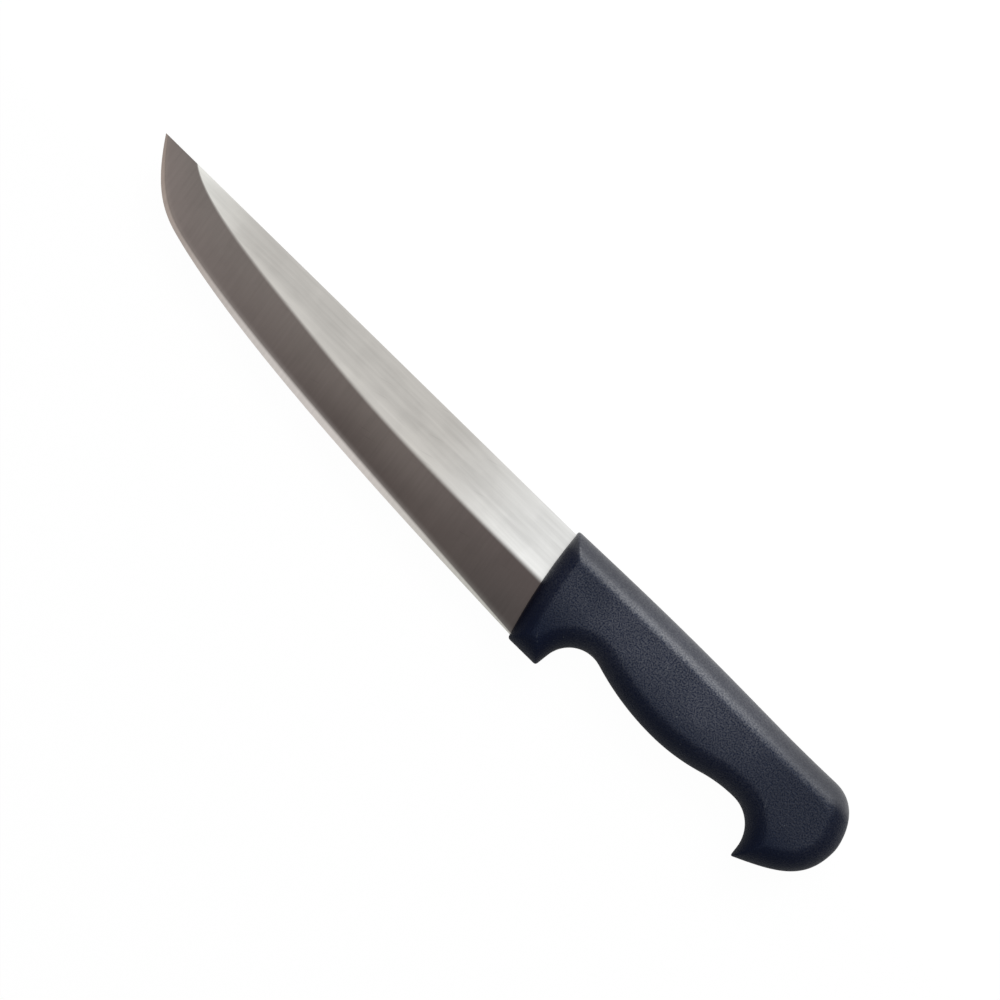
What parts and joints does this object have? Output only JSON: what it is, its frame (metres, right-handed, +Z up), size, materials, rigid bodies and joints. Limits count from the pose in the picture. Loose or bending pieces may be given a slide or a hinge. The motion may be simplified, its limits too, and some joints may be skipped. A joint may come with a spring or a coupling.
{
  "type": "butcher knife",
  "caption": "Butcher's knife: a broad straight-backed blade with an upswept belly, ground in two stages, in a moulded handle with a finger guard and a hooked butt.",
  "frame": {"origin": "on the surface that the knife lies on, under the middle of its box", "axes": "+X from the tip to the butt, +Y from the cutting edge to the spine, +Z up through the blade's thickness"},
  "size_m": [0.324, 0.0422, 0.02],
  "materials": {
    "blade_steel": "satin flats with darker ground bevels and a bright sharpened edge",
    "handle_plastic": "fine spark-eroded mould texture"
  },
  "bodies": {
    "root": {"blade": "blade_steel", "handle": "handle_plastic"}
  },
  "joints": []
}
